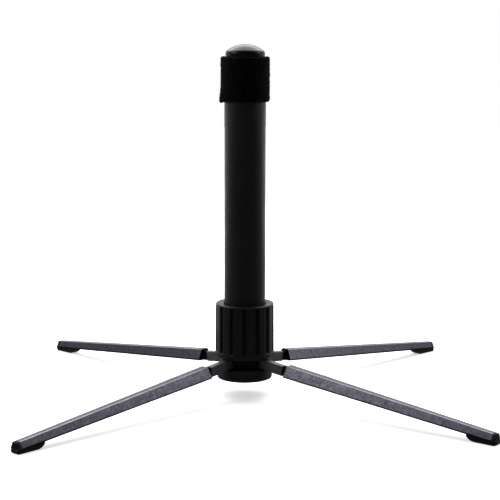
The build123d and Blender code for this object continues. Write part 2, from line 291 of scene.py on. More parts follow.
class Shader:
    """A material with a Principled shader and short calls to add nodes to it."""

    def __init__(self, name, colour, roughness, metallic=0.0, specular=0.5):
        """The surface's constants; the calls below put variation over them."""
        self.material = bpy.data.materials.new(name)
        self.material.use_nodes = True
        self.tree = self.material.node_tree
        self.surface = self.tree.nodes["Principled BSDF"]
        self.set("Base Color", (*colour, 1))
        self.set("Roughness", roughness)
        self.set("Metallic", metallic)
        self.set("Specular IOR Level", specular)
        coordinates = self.tree.nodes.new("ShaderNodeTexCoord")
        self.position = coordinates.outputs["Object"]

    def set(self, socket, value):
        """A constant on one of the surface's own sockets."""
        self.surface.inputs[socket].default_value = value

    def link(self, output, socket):
        """A node's output into one of the surface's sockets."""
        self.tree.links.new(output, self.surface.inputs[socket])

    def noise(self, scale, detail, roughness=0.55):
        """Noise in the object's own metres."""
        node = self.tree.nodes.new("ShaderNodeTexNoise")
        node.inputs["Scale"].default_value = scale
        node.inputs["Detail"].default_value = detail
        node.inputs["Roughness"].default_value = roughness
        self.tree.links.new(self.position, node.inputs["Vector"])
        return node.outputs["Fac"]

    def attribute(self, name):
        """A value stored on the mesh's points."""
        node = self.tree.nodes.new("ShaderNodeAttribute")
        node.attribute_name = name
        return node.outputs["Fac"]

    def spread(self, value, low, high, to_low, to_high):
        """Maps a value from one range onto another, clamped."""
        node = self.tree.nodes.new("ShaderNodeMapRange")
        node.inputs["From Min"].default_value = low
        node.inputs["From Max"].default_value = high
        node.inputs["To Min"].default_value = to_low
        node.inputs["To Max"].default_value = to_high
        self.tree.links.new(value, node.inputs["Value"])
        return node.outputs["Result"]

    def combine(self, kind, first, second):
        """Two values, or a value and a number, added or multiplied."""
        node = self.tree.nodes.new("ShaderNodeMath")
        node.operation = kind
        for index, value in enumerate((first, second)):
            if isinstance(value, (int, float)):
                node.inputs[index].default_value = value
            else:
                self.tree.links.new(value, node.inputs[index])
        return node.outputs[0]

    def blend(self, share, first, second):
        """A colour between two, by a share from 0 to 1."""
        node = self.tree.nodes.new("ShaderNodeMix")
        node.data_type = "RGBA"
        for socket, value in ((node.inputs[6], first), (node.inputs[7], second)):
            if isinstance(value, tuple):
                socket.default_value = (*value, 1)
            else:
                self.tree.links.new(value, socket)
        self.tree.links.new(share, node.inputs[0])
        return node.outputs[2]

    def bump(self, height, distance, strength=1.0):
        """Fine relief on top of any that is already there."""
        node = self.tree.nodes.new("ShaderNodeBump")
        node.inputs["Strength"].default_value = strength
        node.inputs["Distance"].default_value = distance
        self.tree.links.new(height, node.inputs["Height"])
        if self.surface.inputs["Normal"].is_linked:
            earlier = self.surface.inputs["Normal"].links[0].from_socket
            self.tree.links.new(earlier, node.inputs["Normal"])
        self.link(node.outputs["Normal"], "Normal")


def tube_paint():
    """Fine matte black powder coat on the steel tube."""
    shader = Shader("tube_powder_coat", (0.02, 0.02, 0.024), 0.45, specular=0.45)
    grain = shader.noise(2600, 4)
    shader.bump(grain, 0.00003, 0.5)
    cloud = shader.noise(55, 3)
    shader.link(shader.spread(cloud, 0.3, 0.7, 0.37, 0.47), "Roughness")
    tint = shader.spread(cloud, 0.3, 0.7, 0.0, 1.0)
    shader.link(shader.blend(tint, (0.017, 0.017, 0.0205), (0.023, 0.023, 0.0275)), "Base Color")
    return shader.material


def fuzzy_fabric(name, colour):
    """Black pile fabric: no gloss, a little sheen, lint and places rubbed lighter."""
    shader = Shader(name, colour, 0.95, specular=0.1)
    shader.set("Sheen Weight", 0.06)
    shader.set("Sheen Roughness", 0.6)
    lint = shader.noise(900, 4)
    share = shader.spread(lint, 0.45, 0.8, 0.0, 1.0)
    pile = shader.blend(share, colour, tuple(3.6 * c for c in colour))
    rubbed = shader.spread(shader.noise(150, 4, 0.7), 0.5, 0.68, 0.0, 0.7)
    shader.link(shader.blend(rubbed, pile, (0.013, 0.011, 0.013)), "Base Color")
    shader.bump(shader.noise(1900, 5, 0.7), 0.0004, 0.9)
    return shader.material


def gloss_plastic():
    """Glossy black moulded cap, with faint moulding waves and handling marks."""
    shader = Shader("gloss_black_plastic", (0.004, 0.004, 0.005), 0.2, specular=0.36)
    marks = shader.noise(420, 5, 0.7)
    shader.link(shader.spread(marks, 0.35, 0.75, 0.16, 0.30), "Roughness")
    shader.bump(shader.noise(130, 2), 0.00012, 0.25)
    return shader.material


def satin_plastic(name, colour, roughness):
    """Moulded black plastic with a fine spark-eroded grain; shade is painted near-black into its
    recesses, which are also duller.
    """
    shader = Shader(name, colour, roughness, specular=0.45)
    shader.bump(shader.noise(3400, 4), 0.00004, 0.6)
    recess = shader.attribute("recess")
    cloud = shader.spread(shader.noise(80, 4), 0.3, 0.7, roughness - 0.05, roughness + 0.07)
    dull = shader.combine("MULTIPLY", recess, 0.45)
    shader.link(shader.combine("ADD", cloud, dull), "Roughness")
    scuff = shader.spread(shader.noise(600, 5, 0.75), 0.58, 0.78, 0.0, 1.0)
    rubbed = shader.blend(scuff, colour, tuple(2.2 * c for c in colour))
    # Painted shade: the base colour goes near-black where the recess value is 1
    shader.link(shader.blend(recess, rubbed, RECESS_SHADE_COLOUR), "Base Color")
    return shader.material


def black_nickel():
    """Dark plated sheet steel: cloudy tint and specks worn bright, a highlight painted along the
    outer bends, and the cut edges darker.
    """
    shader = Shader("black_nickel_plate", (0.105, 0.095, 0.125), 0.36, metallic=1.0)
    cloud = shader.noise(70, 4)
    tint = shader.blend(shader.spread(cloud, 0.3, 0.7, 0.0, 1.0),
                        (0.063, 0.058, 0.074), (0.084, 0.078, 0.097))
    specks = shader.spread(shader.noise(1100, 2), 0.70, 0.76, 0.0, 1.0)
    patches = shader.spread(shader.noise(45, 2), 0.5, 0.6, 0.0, 1.0)
    worn = shader.combine("MULTIPLY", specks, patches)
    grain = shader.spread(shader.noise(620, 4, 0.7), 0.36, 0.64, 0.0, 1.0)
    fine = shader.blend(grain, tint, (0.134, 0.125, 0.151))
    plated = shader.blend(worn, fine, WORN_SPECK_COLOUR)
    # Painted highlight: a light streak along the outer bends, broken into patches by noise
    highlight_patches = shader.spread(shader.noise(90, 4, 0.7), 0.3, 0.6, 0.45, 0.9)
    bend_highlight = shader.combine("MULTIPLY", shader.attribute("bend_highlight"), highlight_patches)
    highlighted = shader.blend(bend_highlight, plated, BEND_HIGHLIGHT_COLOUR)
    shader.link(shader.blend(shader.attribute("rim"), highlighted, CUT_EDGE_COLOUR), "Base Color")
    shader.link(shader.spread(shader.noise(260, 4), 0.3, 0.7, 0.26, 0.42), "Roughness")
    shader.bump(shader.noise(1400, 3), 0.00004, 0.6)
    shader.bump(shader.noise(28, 2), 0.0009, 0.08)
    return shader.material


def link_plate():
    """Dark plated steel on the solid link bars, rubbed a little lighter in places."""
    shader = Shader("link_dark_plate", (0.18, 0.18, 0.192), 0.42, metallic=0.6)
    rub = shader.spread(shader.noise(160, 4), 0.4, 0.75, 0.0, 1.0)
    shader.link(shader.blend(rub, (0.16, 0.16, 0.172), (0.24, 0.24, 0.255)), "Base Color")
    shader.link(shader.spread(shader.noise(300, 4), 0.3, 0.7, 0.36, 0.5), "Roughness")
    shader.bump(shader.noise(1800, 4), 0.00003, 0.5)
    return shader.material


def painted_shade_black():
    """Painted shade: a dull near-black for the links' tongues, standing for the shade inside the
    channels' mouths.
    """
    shader = Shader("tongue_painted_shade", (0.004, 0.004, 0.005), 0.6, specular=0.2)
    cloud = shader.spread(shader.noise(240, 4), 0.3, 0.7, 0.0, 1.0)
    shader.link(shader.blend(cloud, (0.003, 0.003, 0.004), (0.008, 0.008, 0.009)), "Base Color")
    shader.bump(shader.noise(1500, 3), 0.00004, 0.6)
    return shader.material


def plated_steel(name, colour):
    """Bright plated steel for the pins and the screw."""
    shader = Shader(name, colour, 0.32, metallic=1.0)
    shader.link(shader.spread(shader.noise(900, 4), 0.3, 0.7, 0.24, 0.44), "Roughness")
    shader.bump(shader.noise(2200, 3), 0.00003, 0.4)
    return shader.material


def foot_rubber():
    """Matte black rubber with a faint dusty bloom."""
    shader = Shader("foot_rubber", (0.012, 0.012, 0.0125), 0.62, specular=0.4)
    bloom = shader.spread(shader.noise(220, 5, 0.7), 0.45, 0.75, 0.0, 1.0)
    shader.link(shader.blend(bloom, (0.010, 0.010, 0.0105), (0.035, 0.035, 0.034)), "Base Color")
    shader.link(shader.spread(shader.noise(500, 4), 0.3, 0.7, 0.55, 0.75), "Roughness")
    shader.bump(shader.noise(1600, 4), 0.00006, 0.7)
    return shader.material


# ---------------------------------------------------------------- pieces of the peg

def build_tube(material):
    """The upright tube, with softened ends."""
    low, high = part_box("peg_tube")
    outer = high.x
    inner = outer - TUBE_WALL
    corners = [(inner, low.z), (outer, low.z), (outer, high.z), (inner, high.z)]
    verts, faces = lathe(rounded(corners, [0.2 * MM, 0.4 * MM, 0.4 * MM, 0.2 * MM]))
    piece = make_mesh("tube", verts, faces)
    shade(piece)
    finish_piece(piece, "peg", material, ["peg_tube"])


def build_cap(material):
    """The domed cap: a low crown, a soft shoulder, a rim on the tube and a hollow plug."""
    low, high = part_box("top_cap")
    rim_radius = high.x
    tube_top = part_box("peg_tube")[1].z
    outline = [
        (CAP_PLUG_INNER, low.z), (CAP_PLUG_OUTER - CAP_EDGE, low.z),
        (CAP_PLUG_OUTER, low.z + CAP_EDGE), (CAP_PLUG_OUTER, tube_top),
        (rim_radius - CAP_EDGE, tube_top), (rim_radius, tube_top + CAP_EDGE),
    ]
    rim_top = tube_top + CAP_RIM_HEIGHT
    shoulder_steps = 10
    for step in range(shoulder_steps + 1):
        turn = CAP_SHOULDER_ARC * step / shoulder_steps
        radius = rim_radius - CAP_SHOULDER_RADIUS * (1 - math.cos(turn))
        outline.append((radius, rim_top + CAP_SHOULDER_RADIUS * math.sin(turn)))
    start_radius, start_height = outline[-1]
    rise = high.z - start_height
    crown_steps = 20
    for step in range(1, crown_steps + 1):
        share = step / crown_steps
        height = start_height + rise * (1 - (1 - share) ** CAP_CROWN_POWER)
        outline.append((start_radius * (1 - share), height))
    outline += [(0.0, tube_top), (CAP_PLUG_INNER, tube_top)]
    verts, faces = lathe(outline)
    piece = make_mesh("cap", verts, faces)
    shade(piece, 40)
    finish_piece(piece, "peg", material, ["top_cap"])


# ---------------------------------------------------------------- the ribbed collar

def groove_plan(steps_per_rib=14):
    """Angles round the collar and, at each, how far into a groove it lies, from 0 to 1."""
    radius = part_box("ribbed_collar")[1].x
    half = GROOVE_WIDTH / 2 / radius
    pitch = 2 * math.pi / GROOVE_COUNT
    soft = 0.35 * MM / radius
    plan = []
    sides = ((1.0, 0.0), (0.4, 0.06), (0.0, 0.35), (-0.5, 0.86), (-1.2, 1.0))
    offsets = [(-half - out * soft, depth) for out, depth in sides]
    offsets.append((0.0, 1.0))
    offsets += [(half + out * soft, depth) for out, depth in sides[::-1]]
    for groove in range(GROOVE_COUNT):
        middle = -math.pi / 2 + GROOVE_TURN + groove * pitch
        plan += [(middle + offset, depth) for offset, depth in offsets]
        rib_start = half + soft
        rib_width = pitch - 2 * rib_start
        for step in range(1, steps_per_rib):
            plan.append((middle + rib_start + rib_width * step / steps_per_rib, 0.0))
    return plan


def collar_rows():
    """Heights up the outside of the collar, each with its radius and the grooves' share there."""
    low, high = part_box("ribbed_collar")
    foot_radius = high.x
    top_radius = foot_radius - COLLAR_TAPER
    edge = 0.9 * MM
    rows = [
        (low.z, foot_radius - 1.6 * MM, 0.0),
        (low.z + 0.1 * MM, foot_radius - 0.9 * MM, 0.0),
        (low.z + 0.45 * MM, foot_radius - 0.3 * MM, 0.0),
        (low.z + edge, foot_radius, 0.0),
        (GROOVE_BOTTOM - 0.9 * MM, foot_radius, 0.0),
        (GROOVE_BOTTOM - 0.6 * MM, foot_radius - 0.06 * MM, 0.0),
    ]
    body_radius = foot_radius - 0.15 * MM
    groove_end = ((-0.25, 0.0), (0.0, 0.12), (0.25, 0.5), (0.5, 0.88), (0.8, 1.0))
    end_length = groove_end[-1][0] * MM
    for rise, share in groove_end:
        rows.append((GROOVE_BOTTOM + rise * MM, body_radius, share))
    middle_steps = 12
    for step in range(1, middle_steps):
        share = step / middle_steps
        height = GROOVE_BOTTOM + end_length + (GROOVE_TOP - GROOVE_BOTTOM - 2 * end_length) * share
        rows.append((height, body_radius + (top_radius - body_radius) * share, 1.0))
    for drop, share in groove_end[::-1]:
        rows.append((GROOVE_TOP - drop * MM, top_radius, share))
    rows += [
        (high.z - 0.6 * MM, top_radius, 0.0),
        (high.z - 0.25 * MM, top_radius - 0.15 * MM, 0.0),
        (high.z - 0.05 * MM, top_radius - 0.5 * MM, 0.0),
        (high.z, top_radius - 1.0 * MM, 0.0),
    ]
    inner = [
        (high.z, COLLAR_LIP_RADIUS + 0.5 * MM), (high.z - 0.15 * MM, COLLAR_LIP_RADIUS + 0.12 * MM),
        (high.z - 0.5 * MM, COLLAR_LIP_RADIUS),
        (COLLAR_LIP_BOTTOM, COLLAR_LIP_RADIUS), (COLLAR_LIP_BOTTOM, COLLAR_BORE_RADIUS),
    ]
    thread_start = COLLAR_LIP_BOTTOM - 4.5 * MM
    for turn in range(COLLAR_THREAD_TURNS):
        height = thread_start - turn * THREAD_PITCH
        for drop, depth in ((0.0, 0.0), (0.5, 1.0), (1.0, 1.0), (1.5, 0.0)):
            inner.append((height - drop * MM, COLLAR_BORE_RADIUS + depth * COLLAR_THREAD_DEPTH))
    inner += [(low.z + 0.5 * MM, COLLAR_BORE_RADIUS), (low.z, COLLAR_BORE_RADIUS + 0.5 * MM)]
    return rows + [(height, radius, 0.0) for height, radius in inner]


def mark_painted_shade(piece, measure):
    """A value on each point: how far into a recess it lies, from 0 to 1, which is how much shade is
    painted there.
    """
    recess = piece.data.attributes.new("recess", "FLOAT", "POINT")
    for index, vertex in enumerate(piece.data.vertices):
        radius = math.hypot(vertex.co.x, vertex.co.y)
        recess.data[index].value = min(1.0, max(0.0, measure(radius, vertex.co.z)))


def groove_shade(radius, height, rib_radius):
    """Where shade is painted on the collar: 1 on the bottoms of its grooves, 0 on its ribs and in
    its bore.
    """
    inside = radius < COLLAR_BORE_RADIUS + 2 * COLLAR_THREAD_DEPTH
    if inside or not GROOVE_BOTTOM < height < GROOVE_TOP:
        return 0.0
    return (rib_radius - radius) / GROOVE_DEPTH


def waist_shade(radius, height):
    """Where shade is painted on the hub: 1 on its waist and neck under the collar, 0 on its disc
    and thread.
    """
    under_thread = HUB_DISC_TOP - 0.1 * MM < height < THREAD_BOTTOM
    return 1.0 if under_thread and radius < NECK_RADIUS + 0.1 * MM else 0.0


def build_collar(material):
    """The ribbed collar as one skin, up its grooved outside and down its threaded bore."""
    plan = groove_plan()
    rings = []
    for height, radius, share in collar_rows():
        rings.append([
            on_circle(radius - GROOVE_DEPTH * depth * share, angle, height)
            for angle, depth in plan
        ])
    rings.append(rings[0])
    verts, faces = tube_of_rings(rings, closed_ends=False)
    piece = make_mesh("collar", verts, faces)
    rib_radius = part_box("ribbed_collar")[1].x - COLLAR_TAPER
    # Painted shade goes on the bottoms of the grooves
    mark_painted_shade(piece, lambda radius, height: groove_shade(radius, height, rib_radius))
    shade(piece, 50)
    finish_piece(piece, "collar", material, ["ribbed_collar"])


# ---------------------------------------------------------------- the fuzzy band

def lifted_end(angle, width):
    """1 at the band's lifted end, falling to 0 on both sides of it."""
    away = math.remainder(angle - LIFTED_ANGLE, 2 * math.pi)
    return math.exp(-(away / width) ** 2)


def band_radius(angle, share, outer):
    """How far out the band's face is at one angle and height share, lumps and flare included."""
    direction = Vector((math.cos(angle), math.sin(angle), 0))
    lump = noise.noise(direction * 9 + Vector((0, 0, share * 9))) * BAND_LUMP
    fine = noise.noise(direction * 34 + Vector((3, 1, share * 34))) * BAND_LUMP
    flare = LIFTED_OUT * lifted_end(angle, 0.35) * max(0.0, LIFTED_SHARE - share) / LIFTED_SHARE
    edge = min(share, 1 - share)
    tuck = BAND_TUCK * max(0.0, 1 - edge / BAND_TUCK_SHARE) ** 2
    return outer - BAND_INSET + lump + fine + flare - tuck


def band_surface(low, high, outer, inner):
    """Rings up the outside of the band and down its inside."""
    rings = []
    for row in range(BAND_ROWS + 1):
        share = row / BAND_ROWS
        ring = []
        for step in range(BAND_TURNS):
            angle = 2 * math.pi * step / BAND_TURNS
            radius = band_radius(angle, share, outer)
            direction = Vector((math.cos(angle), math.sin(angle), 0))
            ragged = noise.noise(direction * 14) * BAND_RAGGED * (1 - share) ** 3
            droop = LIFTED_DOWN * lifted_end(angle, 0.3) * (1 - share) ** 3
            height = low + (high - low) * share + ragged - droop
            ring.append(on_circle(radius, angle, height))
        rings.append(ring)
    for height in (high - 0.3 * MM, low + 0.6 * MM):
        rings.append([
            on_circle(inner, 2 * math.pi * step / BAND_TURNS, height) for step in range(BAND_TURNS)
        ])
    rings.append(rings[0])
    return rings


def add_fibre(verts, faces, root, tip, width):
    """One short curved fibre as a thin tapered three-sided sliver."""
    along = (tip - root).normalized()
    side = along.orthogonal().normalized() * width
    other = along.cross(side).normalized() * width
    start = len(verts)
    middle = root.lerp(tip, 0.55) + Vector((0, 0, -0.12 * (tip - root).length))
    for centre, scale in ((root, 1.0), (middle, 0.75)):
        for turn in range(3):
            angle = 2 * math.pi * turn / 3
            verts.append(centre + (side * math.cos(angle) + other * math.sin(angle)) * scale)
    verts.append(tip)
    for turn in range(3):
        after = (turn + 1) % 3
        faces.append((start + turn, start + after, start + 3 + after, start + 3 + turn))
        faces.append((start + 3 + turn, start + 3 + after, start + 6))


def band_fibres(low, high, outer):
    """Loose ends of the pile all over the band and along its cut edges."""
    chance = random.Random(11)
    verts = []
    faces = []
    for _ in range(FIBRE_COUNT):
        angle = chance.uniform(0, 2 * math.pi)
        share = min(1.0, max(0.0, chance.uniform(-0.02, 1.02)))
        radius = band_radius(angle, share, outer)
        outward = Vector((math.cos(angle), math.sin(angle), 0))
        root = outward * (radius - 0.15 * MM) + Vector((0, 0, low + (high - low) * share))
        lean = Vector((chance.uniform(-1, 1), chance.uniform(-1, 1), chance.uniform(-1, 0.8)))
        length = chance.uniform(0.35, 1.05) * MM
        tip = root + (outward + lean * 0.8).normalized() * length
        add_fibre(verts, faces, root, tip, chance.uniform(0.05, 0.09) * MM)
    return verts, faces


def build_band(material, fibre_material):
    """The band itself, and the loose ends of its pile as a second piece."""
    low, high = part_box("felt_band")
    outer = high.x
    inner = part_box("peg_tube")[1].x + BAND_GAP
    verts, faces = tube_of_rings(band_surface(low.z, high.z, outer, inner), closed_ends=False)
    band = make_mesh("band", verts, faces)
    shade(band, 60)
    finish_piece(band, "peg", material, ["felt_band"])
    verts, faces = band_fibres(low.z, high.z, outer)
    fibres = make_mesh("band_pile", verts, faces)
    finish_piece(fibres, "peg", fibre_material)


# ---------------------------------------------------------------- the legs

def leg_turn(leg):
    """The turn about Z that points X along the leg, square to its fold axis."""
    axis = JOINTS[leg + "_fold"]["axis"]
    return Matrix.Rotation(math.atan2(axis[0], -axis[1]), 4, "Z")


def leg_place(leg):
    """The leg's own frame: X outward along the leg from its pivot, Z square to it."""
    slope = Matrix.Rotation(LEG_SLOPE, 4, "Y")
    return Matrix.Translation(JOINTS[leg + "_fold"]["pos_m"]) @ leg_turn(leg) @ slope


def channel_sizes(along):
    """Half widths at the web and at the bottom, and the height, at one place along the leg."""
    share = (along - CHANNEL_START) / (CHANNEL_END - CHANNEL_START)
    return [first + share * (last - first)
            for first, last in (WEB_HALF, BOTTOM_HALF, CHANNEL_HEIGHT)]


def channel_section(along):
    """The closed outline of the bent sheet at one place: out over the top, back underneath."""
    web, bottom, height = channel_sizes(along)
    lean = math.atan2(bottom - web, height)
    normal_shift = SHEET / math.cos(lean)
    slope = (bottom - web) / height
    inner_web = web + SHEET * slope - normal_shift
    lip = (-math.cos(lean) * SHEET, -math.sin(lean) * SHEET)
    low = WEB_TOP - height
    rim = (bottom - RIM_WIDTH * math.sin(lean), low + RIM_WIDTH * math.cos(lean))
    corners = [
        (-bottom, low), (-rim[0], rim[1]), (-web, WEB_TOP), (web, WEB_TOP), rim, (bottom, low),
        (bottom + lip[0], low + lip[1]), (rim[0] + lip[0], rim[1] + lip[1]),
        (inner_web, WEB_TOP - SHEET), (-inner_web, WEB_TOP - SHEET),
        (-rim[0] - lip[0], rim[1] + lip[1]), (-bottom - lip[0], low + lip[1]),
    ]
    edge = 0.5 * MM
    inner_edge = 0.25 * MM
    inner_bend = 0.35 * MM
    radii = [edge, 0, BEND_RADIUS, BEND_RADIUS, 0, edge,
             inner_edge, 0, inner_bend, inner_bend, 0, inner_edge]
    return rounded(corners, radii)


def mark_rim_and_bend_highlight(piece, place):
    """Values on a channel's points: "rim" is 1 on the cut edges; the other value is 1 on the outer
    bends, where a highlight is painted.
    """
    rim = piece.data.attributes.new("rim", "FLOAT", "POINT")
    bend_highlight = piece.data.attributes.new("bend_highlight", "FLOAT", "POINT")
    back = place.inverted()
    end_depth = 0.1 * MM
    highlight_reach = 0.6 * BEND_RADIUS
    highlight_fade = 0.4 * BEND_RADIUS
    for index, vertex in enumerate(piece.data.vertices):
        local = back @ vertex.co
        web, _, height = channel_sizes(local.x)
        above = local.z - (WEB_TOP - height)
        at_end = min(local.x - CHANNEL_START, CHANNEL_END - local.x) < end_depth
        rim.data[index].value = 1.0 if at_end or above < 0.6 * RIM_WIDTH else 0.0
        # The painted highlight's mask: near the outer bends
        from_bend = math.hypot(abs(local.y) - web, local.z - WEB_TOP)
        bend_highlight.data[index].value = min(1.0, max(0.0, (highlight_reach - from_bend) / highlight_fade))


def build_channel(leg, material):
    """The flared sheet channel, as a skin over sections along the leg."""
    stations = 48
    near_end = 0.5 * MM
    places = [CHANNEL_START, CHANNEL_START + near_end]
    for index in range(1, stations):
        places.append(CHANNEL_START + (CHANNEL_END - CHANNEL_START) * index / stations)
    places += [CHANNEL_END - near_end, CHANNEL_END]
    rings = [[(along, y, z) for y, z in channel_section(along)] for along in places]
    verts, faces = tube_of_rings(rings)
    place = leg_place(leg)
    piece = make_mesh(leg + "_leg_channel", verts, faces, place)
    mark_rim_and_bend_highlight(piece, place)
    shade(piece, 40)
    finish_piece(piece, leg + "_leg", material, [leg + "_channel"])


def bar_outline():
    """The bar outside the channel from the side: a round eye and a square shoulder."""
    eye_steps = 20
    outline = []
    for step in range(eye_steps + 1):
        turn = math.pi / 2 + math.pi * step / eye_steps
        outline.append((LINK_HALF_HEIGHT * math.cos(turn), LINK_HALF_HEIGHT * math.sin(turn)))
    return outline + [(SHOULDER, -LINK_HALF_HEIGHT), (SHOULDER, LINK_HALF_HEIGHT)]


def tongue_outline():
    """The tongue inside the channel from the side, its tip rounded up from below."""
    start = SHOULDER - LINK_HALF_HEIGHT
    outline = [(start, 0.0), (start, TONGUE_BOTTOM)]
    end_steps = 10
    for step in range(end_steps + 1):
        turn = 0.5 * math.pi * step / end_steps
        along = TONGUE_END - TONGUE_TAPER_LENGTH + TONGUE_TAPER_LENGTH * math.sin(turn)
        outline.append((along, TONGUE_BOTTOM + TONGUE_TAPER_HEIGHT * (1 - math.cos(turn))))
    return outline + [
        (TONGUE_END, TONGUE_TOP), (CHANNEL_START, TONGUE_TOP),
        (CHANNEL_START, LINK_HALF_HEIGHT), (SHOULDER, LINK_HALF_HEIGHT),
    ]


def edge_layers(half_width, edge, steps=4):
    """Places across a bar, each with how far its outline is drawn in for the rounded edge."""
    near = []
    for step in range(steps + 1):
        turn = 0.5 * math.pi * step / steps
        across = half_width - edge + edge * math.cos(turn)
        near.append((-across, edge * (1 - math.sin(turn))))
    return near + [(-across, inset) for across, inset in near[::-1]]


def rounded_bar(outline, half_width, edge):
    """A bar with the outline's sides and every long edge rounded."""
    ends = [x for x, z in outline]
    middle = (min(ends) + max(ends)) / 2
    half_length = (max(ends) - min(ends)) / 2
    half_height = max(abs(z) for x, z in outline)
    rings = []
    for across, inset in edge_layers(half_width, edge):
        along_scale = 1 - inset / half_length
        height_scale = 1 - inset / half_height
        rings.append([
            (middle + (x - middle) * along_scale, across, z * height_scale) for x, z in outline
        ])
    return tube_of_rings(rings)


def build_link(leg, material, tongue_shade_material):
    """The bar, and the tongue that runs on from it into the channel, coloured near-black as painted
    shade.
    """
    verts, faces = rounded_bar(bar_outline(), LINK_HALF_WIDTH, LINK_EDGE)
    bar = make_mesh(leg + "_leg_link", verts, faces, leg_place(leg))
    shade(bar, 40)
    finish_piece(bar, leg + "_leg", material, [leg + "_link"])
    # Painted shade: the tongue gets the near-black material
    verts, faces = rounded_bar(tongue_outline(), TONGUE_HALF_WIDTH, TONGUE_EDGE)
    tongue = make_mesh(leg + "_leg_tongue", verts, faces, leg_place(leg))
    shade(tongue, 40)
    finish_piece(tongue, leg + "_leg", tongue_shade_material)


def build_rivets(leg, material):
    """Two rivets with low domed heads under the tongue; the shanks end just below the web's top."""
    dome = []
    steps = 8
    for step in range(steps + 1):
        turn = 0.5 * math.pi * step / steps
        height = TONGUE_BOTTOM - RIVET_HEAD_HEIGHT * math.cos(turn)
        dome.append((RIVET_HEAD_RADIUS * math.sin(turn), height))
    shank_top = WEB_TOP - 0.05 * MM
    shank = [(RIVET_SHANK_RADIUS, TONGUE_BOTTOM), (RIVET_SHANK_RADIUS, shank_top), (0.0, shank_top)]
    verts = []
    faces = []
    for place in RIVET_PLACES:
        more_verts, more_faces = lathe(dome + shank, 32)
        start = len(verts)
        verts += [(x + place, y, z) for x, y, z in more_verts]
        faces += [tuple(start + index for index in face) for face in more_faces]
    piece = make_mesh(leg + "_leg_rivets", verts, faces, leg_place(leg))
    shade(piece, 40)
    finish_piece(piece, leg + "_leg", material, [leg + "_rivets"])


def build_foot(leg, material):
    """The rubber foot: the CAD foot's own shape, with its edges moulded round."""
    data = NODES[leg + "_foot"].data.copy()
    piece = bpy.data.objects.new(leg + "_rubber_foot", data)
    bpy.context.scene.collection.objects.link(piece)
    remesh = piece.modifiers.new("remesh", "REMESH")
    remesh.mode = "VOXEL"
    remesh.voxel_size = 0.28 * MM
    smooth = piece.modifiers.new("smooth", "SMOOTH")
    smooth.factor = 0.5
    smooth.iterations = 16
    apply_modifiers(piece)
    shade(piece, 60)
    finish_piece(piece, leg + "_leg", material, [leg + "_foot"])


def apply_modifiers(piece):
    """Leaves the mesh as its modifiers make it, with none on the piece."""
    graph = bpy.context.evaluated_depsgraph_get()
    baked = bpy.data.meshes.new_from_object(piece.evaluated_get(graph))
    piece.modifiers.clear()
    piece.data = baked


# ---------------------------------------------------------------- the hub

def disc_rows(radius):
    """The hub's disc from its underside up, two layers with a fine seam between them."""
    soft = 0.35 * MM
    fine = 0.06 * MM
    return [
        (radius - 2 * soft, HUB_SEAM_HEIGHT), (radius - soft, HUB_SEAM_HEIGHT + fine),
        (radius, HUB_SEAM_HEIGHT + soft), (radius, HUB_SPLIT_HEIGHT - 0.7 * soft),
        (radius - 0.5 * soft, HUB_SPLIT_HEIGHT - fine), (radius - 1.3 * soft, HUB_SPLIT_HEIGHT),
        (radius - 0.5 * soft, HUB_SPLIT_HEIGHT + fine), (radius, HUB_SPLIT_HEIGHT + 0.7 * soft),
        (radius, HUB_DISC_TOP - 2.6 * soft), (radius - 0.35 * soft, HUB_DISC_TOP - 1.2 * soft),
        (radius - 1.2 * soft, HUB_DISC_TOP - 0.35 * soft), (radius - 2.6 * soft, HUB_DISC_TOP),
    ]


def core_rows():
    """Waist and neck above the disc, up to the foot of the thread."""
    soft = 0.3 * MM
    return [
        (WAIST_RADIUS + soft, HUB_DISC_TOP), (WAIST_RADIUS, HUB_DISC_TOP + soft),
        (WAIST_RADIUS, WAIST_TOP), (NECK_RADIUS - soft, WAIST_TOP),
        (NECK_RADIUS, WAIST_TOP + soft), (NECK_RADIUS, THREAD_BOTTOM - soft),
    ]


def thread_radius(height, turn, top):
    """The thread's face at one height and share of a turn: flat crest, sloped flanks, flat root."""
    phase = (height / THREAD_PITCH + turn) % 1.0
    wave = min(1.0, max(0.0, 4 * abs(phase - 0.5) - 0.5))
    above_foot = (height - THREAD_BOTTOM) / THREAD_PITCH
    below_top = (top - height) / THREAD_PITCH
    fade = min(1.0, max(0.0, above_foot), below_top)
    return THREAD_RADIUS - THREAD_DEPTH * (1 - wave * fade)


def build_hub_core(material):
    """The disc, waist, neck and screwed core in one, with the legs' slots cut in it."""
    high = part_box("hub_core")[1]
    steps = 120
    rows = [(radius, height, False) for radius, height in disc_rows(high.x) + core_rows()]
    thread_top = high.z - 1.0 * MM
    thread_rows = 80
    for row in range(thread_rows + 1):
        height = THREAD_BOTTOM + (thread_top - THREAD_BOTTOM) * row / thread_rows
        rows.append((0.0, height, True))
    rows += [(THREAD_RADIUS - THREAD_DEPTH - 0.2 * MM, high.z - 0.5 * MM, False),
             (THREAD_RADIUS - THREAD_DEPTH - 0.8 * MM, high.z, False)]
    rings = []
    for radius, height, threaded in rows:
        ring = []
        for step in range(steps):
            turn = step / steps
            reach = thread_radius(height, turn, thread_top) if threaded else radius
            ring.append(on_circle(reach, 2 * math.pi * turn, height))
        rings.append(ring)
    verts, faces = tube_of_rings(rings)
    piece = make_mesh("hub_body", verts, faces)
    for leg in LEG_NAMES:
        cut_slot(piece, leg)
    tidy_cut(piece)
    # Painted shade goes on the waist and neck under the collar
    mark_painted_shade(piece, waist_shade)
    shade(piece, 35)
    finish_piece(piece, "base", material, ["hub_core"])


